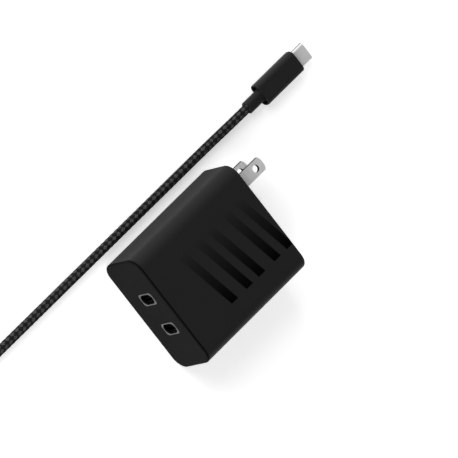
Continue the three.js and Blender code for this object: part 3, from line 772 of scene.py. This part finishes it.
acetal = Look("black_acetal", Specular_IOR_Level=0.45)
flow = acetal.noise(acetal.place(), 350.0, 4.0)
fine = acetal.noise(acetal.place(), 4500.0, 2.0)
acetal.feed("Base Color", acetal.mix(flow, grey(0.008), grey(0.014)))
acetal.feed("Roughness", fine * 0.15 + flow * 0.1 + 0.35)
acetal.bump(fine, 0.01 * MM, 0.5)
repaint(acetal, "blade_carrier", "blade_tray")

pin_steel = Look("ground_steel", Metallic=1.0)
x, y, z = pin_steel.axes(pin_steel.place())
ground = pin_steel.noise(pin_steel.vector(x * 1500.0, y * 1500.0, z * 15000.0), 1.0, 2.0)
pin_steel.feed("Base Color", pin_steel.mix(ground, grey(0.42), grey(0.58)))
pin_steel.feed("Roughness", ground * 0.15 + 0.22)
repaint(pin_steel, "blade_pivot_pin", "detent_spring")

bronze = Look("phosphor_bronze", Metallic=1.0)
tarnish = bronze.noise(bronze.place(), 500.0, 4.0)
bronze.feed("Base Color", bronze.mix(tarnish, (0.40, 0.19, 0.08, 1), (0.62, 0.33, 0.15, 1)))
bronze.feed("Roughness", tarnish * 0.25 + 0.25)
repaint(bronze, "mains_contact_line", "mains_contact_neutral")

sleeving = Look("wire_insulation", Specular_IOR_Level=0.5)
ripple = sleeving.noise(sleeving.place(), 900.0, 3.0)
sleeving.feed("Base Color", sleeving.mix(ripple, (0.60, 0.56, 0.47, 1), (0.72, 0.69, 0.60, 1)))
sleeving.feed("Roughness", ripple * 0.2 + 0.35)
repaint(sleeving, "mains_wire_line", "mains_wire_neutral")

# ---------------------------------------------------------------- circuit boards
# Glass-epoxy laminate under green solder mask. Copper tracks show as a slightly raised lighter
# pattern, with a tenth-inch grid of tinned pads. The chips on them are moulded in black epoxy.
mask_green = Look("solder_mask", Specular_IOR_Level=0.5)
here = mask_green.place()
cells = mask_green.node(
    "ShaderNodeTexVoronoi", {"feature": "DISTANCE_TO_EDGE", "distance": "MANHATTAN"},
    {"Vector": here, "Scale": 330.0},
)
tracks = ((cells - 0.07) * 18.0).clamped()
x, y, _ = mask_green.axes(here)
pad_spacing = 2.54 * MM
pad_grid = (x / pad_spacing).ridges() * (y / pad_spacing).ridges()
pads = ((pad_grid - 0.93) * 30.0).clamped()
weave = mask_green.noise(here, 2600.0, 3.0)
lacquer = mask_green.mix(tracks, (0.006, 0.040, 0.020, 1), (0.012, 0.085, 0.040, 1))
mask_green.feed("Base Color", mask_green.mix(pads, lacquer, (0.55, 0.56, 0.55, 1)))
mask_green.feed("Metallic", pads)
mask_green.feed("Roughness", weave * 0.12 + 0.3)
mask_green.bump(tracks * 0.6 + pads + weave * 0.1, 0.04 * MM, 0.7)
repaint(mask_green, "main_board", "port_board_left", "port_board_right")

mould_compound = Look("epoxy_compound", Specular_IOR_Level=0.4)
grit = mould_compound.noise(mould_compound.place(), 5000.0, 4.0)
stain = mould_compound.noise(mould_compound.place(), 300.0, 2.0)
mould_compound.feed("Base Color", mould_compound.mix(stain, grey(0.012), grey(0.020)))
mould_compound.feed("Roughness", grit * 0.2 + 0.5)
mould_compound.bump(grit, 0.02 * MM, 0.7)
repaint(
    mould_compound, "port_controller_left", "port_controller_right", "switch_chip_primary",
    "switch_chip_secondary", "bridge_rectifier",
)

# ---------------------------------------------------------------- insulation and heat parts
# A sheet of fish paper keeps the board's solder side off the case. A pressed aluminium plate
# under the top wall spreads the heat that a soft silicone pad brings up from the transformer.
fish_paper = Look("fish_paper", Specular_IOR_Level=0.3)
x, y, z = fish_paper.axes(fish_paper.place())
pulp = fish_paper.noise(fish_paper.vector(x * 2600.0, y * 900.0, z * 900.0), 1.0, 4.0)
fish_paper.feed("Base Color", fish_paper.mix(pulp, (0.62, 0.56, 0.42, 1), (0.80, 0.75, 0.60, 1)))
fish_paper.feed("Roughness", pulp * 0.2 + 0.7)
fish_paper.bump(pulp, 0.03 * MM, 0.6)
repaint(fish_paper, "insulation_sheet")

sheet_aluminium = Look("sheet_aluminium", Metallic=1.0)
x, y, z = sheet_aluminium.axes(sheet_aluminium.place())
rolling = sheet_aluminium.noise(sheet_aluminium.vector(x * 6000.0, y * 120.0, z * 900.0), 1.0, 3.0)
sheet_aluminium.feed("Base Color", sheet_aluminium.mix(rolling, grey(0.50), grey(0.62)))
sheet_aluminium.feed("Roughness", rolling * 0.2 + 0.3)
sheet_aluminium.bump(rolling, 0.008 * MM, 0.5)
repaint(sheet_aluminium, "heat_spreader")

silicone = Look("silicone_pad", Specular_IOR_Level=0.25)
filler = silicone.noise(silicone.place(), 2400.0, 4.0)
silicone.feed("Base Color", silicone.mix(filler, (0.20, 0.23, 0.29, 1), (0.29, 0.32, 0.38, 1)))
silicone.feed("Roughness", filler * 0.1 + 0.85)
silicone.bump(filler, 0.05 * MM, 0.6)
repaint(silicone, "thermal_pad")

# ---------------------------------------------------------------- transformer
# Two sintered ferrite E-halves clamp a moulded bobbin. The windings are wrapped in overlapping
# turns of yellow polyester tape.
ferrite = Look("ferrite", Specular_IOR_Level=0.4)
sinter = ferrite.noise(ferrite.place(), 3600.0, 5.0)
chalk = ferrite.noise(ferrite.place(), 260.0, 3.0)
ferrite.feed("Base Color", ferrite.mix(chalk, (0.022, 0.023, 0.026, 1), (0.040, 0.041, 0.045, 1)))
ferrite.feed("Roughness", sinter * 0.2 + 0.6)
ferrite.bump(sinter, 0.03 * MM, 0.8)
repaint(
    ferrite, "transformer_core_lower", "transformer_core_upper", "boost_choke_core",
    "filter_choke_core",
)

bobbin_resin = Look("bobbin_resin", Specular_IOR_Level=0.4)
glass = bobbin_resin.noise(bobbin_resin.place(), 2800.0, 4.0)
bobbin_resin.feed("Base Color", bobbin_resin.mix(glass, (0.55, 0.51, 0.40, 1), (0.68, 0.64, 0.53, 1)))
bobbin_resin.feed("Roughness", glass * 0.2 + 0.45)
repaint(bobbin_resin, "transformer_bobbin")

polyester_tape = Look("polyester_tape", Coat_Weight=0.3, Coat_Roughness=0.2)
x, y, z = polyester_tape.axes(polyester_tape.place())
tape_lap = 2.3 * MM
lap = ((z / tape_lap).ridges() ** 6.0).clamped()
wrinkle = polyester_tape.noise(polyester_tape.vector(x * 300.0, y * 300.0, z * 2400.0), 1.0, 3.0)
polyester_tape.feed("Base Color", polyester_tape.mix(
    lap * 0.6 + wrinkle * 0.2, (0.72, 0.42, 0.03, 1), (0.42, 0.22, 0.015, 1)))
polyester_tape.feed("Roughness", wrinkle * 0.25 + 0.25)
polyester_tape.bump(lap + wrinkle * 0.6, 0.05 * MM, 0.8)
repaint(polyester_tape, "transformer_winding")

# ---------------------------------------------------------------- wound chokes
# Enamelled copper wire laid side by side round toroid cores, one winding on the boost choke and
# two facing ones on the mains filter.
for nodes, turns in (
    (("boost_choke_winding",), 26), (("filter_choke_winding_line", "filter_choke_winding_neutral"), 30),
):
    low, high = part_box(nodes[0])
    for node in nodes:
        low = Vector(map(min, low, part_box(node)[0]))
        high = Vector(map(max, high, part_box(node)[1]))
    enamel = Look(f"enamelled_{nodes[0]}", Metallic=1.0, Coat_Weight=0.5, Coat_Roughness=0.15)
    here = enamel.place((low + high) / 2)
    x, y, _ = enamel.axes(here)
    wire_turns_and_shade = (y.op("ARCTAN2", x) * (turns / (2 * math.pi))).ridges()
    varnish = enamel.noise(here, 900.0, 3.0)
    # Painted shade between the turns: the copper colour darkens where the wire's relief dips.
    enamel.feed("Base Color", enamel.mix(
        wire_turns_and_shade * 0.7 + varnish * 0.3, (0.16, 0.045, 0.015, 1), (0.66, 0.26, 0.09, 1)))
    enamel.feed("Roughness", varnish * 0.2 + 0.22)
    enamel.bump(wire_turns_and_shade, 0.25 * MM, 0.9)
    repaint(enamel, *nodes)

# ---------------------------------------------------------------- capacitors, fuse and discs
# The tall cans have a black printed sleeve shrunk over aluminium that shows at the vented top.
# The polymer output cans are bare. Film, ceramic and surge parts are dipped or boxed in resin.
top_skin = 0.05 * MM
hard_step = 1e5
bare_radius = 3.9 * MM
vent_half = 0.18 * MM
for number in (1, 2):
    node = f"bulk_capacitor_{number}"
    low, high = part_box(node)
    sleeve = Look(f"shrink_sleeve_{number}", Coat_Weight=0.2, Coat_Roughness=0.25)
    here = sleeve.place(((low.x + high.x) / 2, (low.y + high.y) / 2, high.z))
    x, y, z = sleeve.axes(here)
    reach = (x * x + y * y) ** 0.5
    top = ((z + top_skin) * hard_step).clamped() * ((bare_radius - reach) * hard_step).clamped()
    # Painted shade: the vent cross is coloured darker than the bare top, besides being pressed in by
    # the bump.
    vent_groove_and_shade = ((vent_half - abs(x).op("MINIMUM", abs(y))) * hard_step).clamped() * top
    stripe = ((abs(y.op("ARCTAN2", x)) - 2.75) * 40.0).clamped() * (1.0 - top)
    shrink = sleeve.noise(here, 700.0, 3.0)
    colour = sleeve.mix(stripe, grey(0.012), (0.35, 0.36, 0.38, 1))
    colour = sleeve.mix(top, colour, grey(0.62))
    sleeve.feed("Base Color", sleeve.mix(vent_groove_and_shade, colour, grey(0.2)))
    sleeve.feed("Metallic", top)
    sleeve.feed("Roughness", shrink * 0.15 + 0.28)
    sleeve.bump(shrink * 0.4 - vent_groove_and_shade * 1.0, 0.06 * MM, 0.7)
    repaint(sleeve, node)

mark_from_middle = 1.6 * MM
for number in (1, 2, 3):
    node = f"output_capacitor_{number}"
    low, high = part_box(node)
    can = Look(f"polymer_can_{number}", Metallic=1.0)
    here = can.place(((low.x + high.x) / 2, (low.y + high.y) / 2, high.z))
    x, y, z = can.axes(here)
    mark = ((z + top_skin) * hard_step).clamped() * ((x - mark_from_middle) * hard_step).clamped()
    spun = can.noise(can.vector(x * 900.0, y * 900.0, z * 5000.0), 1.0, 3.0)
    can.feed("Base Color", can.mix(mark, grey(0.62), (0.05, 0.06, 0.16, 1)))
    can.feed("Metallic", 1.0 - mark)
    can.feed("Roughness", spun * 0.2 + 0.25)
    can.bump(spun, 0.01 * MM, 0.4)
    repaint(can, node)

dipped = {
    "line_filter_capacitor": ("film_box", (0.62, 0.40, 0.03, 1), (0.74, 0.50, 0.06, 1)),
    "isolation_capacitor": ("disc_lacquer", (0.02, 0.10, 0.32, 1), (0.04, 0.16, 0.42, 1)),
    "surge_disc": ("surge_lacquer", (0.02, 0.10, 0.32, 1), (0.04, 0.16, 0.42, 1)),
    "fuse": ("fuse_ceramic", (0.62, 0.58, 0.50, 1), (0.76, 0.73, 0.66, 1)),
}
for node, (name, dark, light) in dipped.items():
    resin = Look(name, Coat_Weight=0.25, Coat_Roughness=0.2)
    orange_peel = resin.noise(resin.place(), 1600.0, 3.0)
    runs = resin.noise(resin.place(), 220.0, 2.0)
    resin.feed("Base Color", resin.mix(runs, dark, light))
    resin.feed("Roughness", orange_peel * 0.2 + 0.3)
    resin.bump(orange_peel * 0.5 + runs, 0.05 * MM, 0.6)
    repaint(resin, node)

# ---------------------------------------------------------------- floor and lights
# A seamless pale studio floor of opal acrylic, lit a little from below. A big soft light stands on
# the lead's side, with weaker ones in front and on the far side. The room is bright low down, dark
# overhead and dim on the far side.
floor_bm = bmesh.new()
bmesh.ops.create_grid(floor_bm, x_segments=1, y_segments=1, size=6.0)
floor = piece_from(floor_bm, "floor")
paint = Look("lit_floor", Roughness=0.9, Emission_Strength=0.5)
paint.shader.inputs["Base Color"].default_value = grey(0.9)
paint.shader.inputs["Emission Color"].default_value = grey(1.0)
floor.data.materials.append(paint.material)


def soft_light(name, power, size, place):
    lamp_data = bpy.data.lights.new(name, "AREA")
    lamp_data.shape = "DISK"
    lamp_data.energy = power
    lamp_data.size = size
    lamp = bpy.data.objects.new(name, lamp_data)
    lamp.location = place
    lamp.rotation_mode = "QUATERNION"
    lamp.rotation_quaternion = (Vector(place) - body_middle).to_track_quat("Z", "Y")
    lamp.visible_camera = False
    scene.collection.objects.link(lamp)


soft_light("key", 20.0, 1.5, (-1.3, -0.25, 0.9))
soft_light("front", 12.0, 1.3, (0.35, -1.4, 0.95))
soft_light("rim", 4.0, 1.2, (1.3, -0.5, 0.4))

world = bpy.data.worlds.new("studio")
world.use_nodes = True
sky = world.node_tree.nodes
join = world.node_tree.links.new
direction = sky.new("ShaderNodeTexCoord")
axes = sky.new("ShaderNodeSeparateXYZ")
join(direction.outputs["Generated"], axes.inputs[0])


def room_light(axis, start, stop, first, last):
    """Light that goes from first to last while the direction's axis goes from start to stop."""
    fall = sky.new("ShaderNodeMapRange")
    values = {"From Min": start, "From Max": stop, "To Min": first, "To Max": last}
    for socket, value in values.items():
        fall.inputs[socket].default_value = value
    join(axes.outputs[axis], fall.inputs["Value"])
    return fall.outputs[0]


strength = sky.new("ShaderNodeMath")
strength.operation = "MULTIPLY"
join(room_light("Z", 0.0, 0.82, 1.1, 0.03), strength.inputs[0])
join(room_light("X", 0.1, 0.8, 1.0, 0.35), strength.inputs[1])
join(strength.outputs[0], sky["Background"].inputs["Strength"])
sky["Background"].inputs["Color"].default_value = grey(1.0)
scene.world = world
